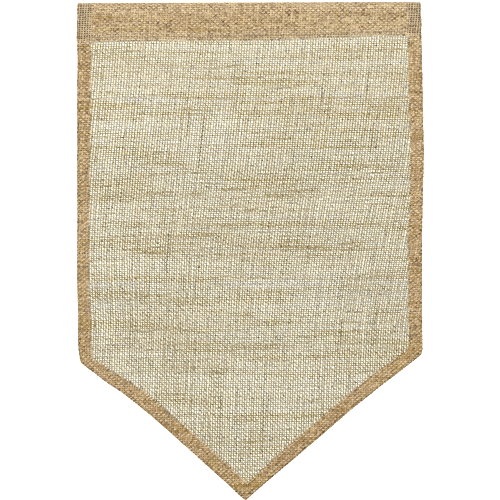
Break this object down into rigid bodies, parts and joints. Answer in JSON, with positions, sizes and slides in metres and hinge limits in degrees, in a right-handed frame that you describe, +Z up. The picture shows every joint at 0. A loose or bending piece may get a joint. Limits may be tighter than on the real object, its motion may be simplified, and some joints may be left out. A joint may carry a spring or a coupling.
{
  "type": "burlap pennant flag",
  "caption": "Pointed garden flag of open-weave burlap with doubled hems and a sleeve along its top for a rod.",
  "frame": {"origin": "on the axis of the rod that the sleeve is made for, halfway along the sleeve", "axes": "+Z up as it hangs, with the point down; the front faces -Y; +X to the right as one looks at the front"},
  "size_m": [0.3203, 0.0132, 0.4577],
  "materials": {
    "burlap": "natural undyed jute, open plain weave, matt and slightly hairy"
  },
  "bodies": {
    "root": {"panel": "burlap", "rod_sleeve": "burlap"}
  },
  "joints": []
}
